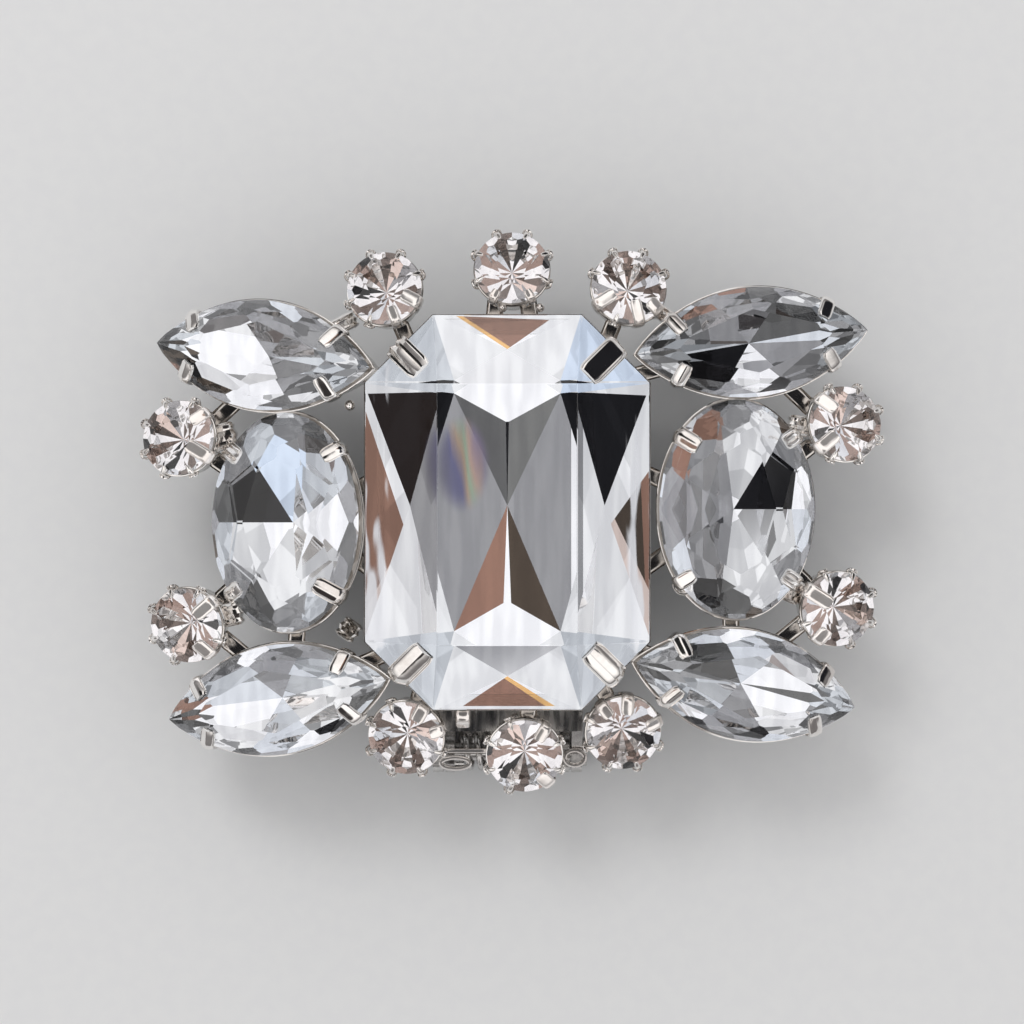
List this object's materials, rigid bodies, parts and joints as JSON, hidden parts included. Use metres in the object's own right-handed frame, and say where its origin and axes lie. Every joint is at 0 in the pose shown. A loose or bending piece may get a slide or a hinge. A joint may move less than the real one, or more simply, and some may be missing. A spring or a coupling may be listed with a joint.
{
  "type": "shoe clip",
  "caption": "Jewelled shoe clip: clear foil-backed cut stones held by claws in a soldered metal frame, with a sprung clip behind for the edge of a shoe.",
  "frame": {"origin": "on the surface that the clip lies on, under the middle of the face", "axes": "+X to the right across the face, +Y up the face away from the clip's hinge, +Z out of the face"},
  "size_m": [0.0478, 0.0363, 0.0135],
  "materials": {
    "large_stone": "clear cut glass with a silver foil back",
    "small_stone": "clear cut glass with a warm silver foil back",
    "bright_metal": "bright silver-coloured plating over soldered brass",
    "clip_metal": "bright nickel-plated sheet steel",
    "spring_wire": "drawn spring wire"
  },
  "bodies": {
    "face": {"centre_stone": "large_stone", "oval_stone_left": "large_stone", "oval_stone_right": "large_stone", "boat_stone_top_left": "large_stone", "boat_stone_top_right": "large_stone", "boat_stone_bottom_left": "large_stone", "boat_stone_bottom_right": "large_stone", "round_stone_top_left": "small_stone", "round_stone_top": "small_stone", "round_stone_top_right": "small_stone", "round_stone_right_upper": "small_stone", "round_stone_right_lower": "small_stone", "round_stone_bottom_right": "small_stone", "round_stone_bottom": "small_stone", "round_stone_bottom_left": "small_stone", "round_stone_left_lower": "small_stone", "round_stone_left_upper": "small_stone", "setting_frame": "bright_metal", "clip_plate": "clip_metal", "hinge_pin": "clip_metal", "coil_spring": "spring_wire"},
    "lever": {"clip_lever": "clip_metal"}
  },
  "joints": [
    {"name": "lever_hinge", "type": "hinge", "parent": "face", "child": "lever", "pos_m": [0, -0.01596, 0.003], "axis": [-1, 0, 0], "range_deg": [0, 22], "stiffness_Nm_per_rad": 0.02, "springref_deg": -20.05}
  ]
}
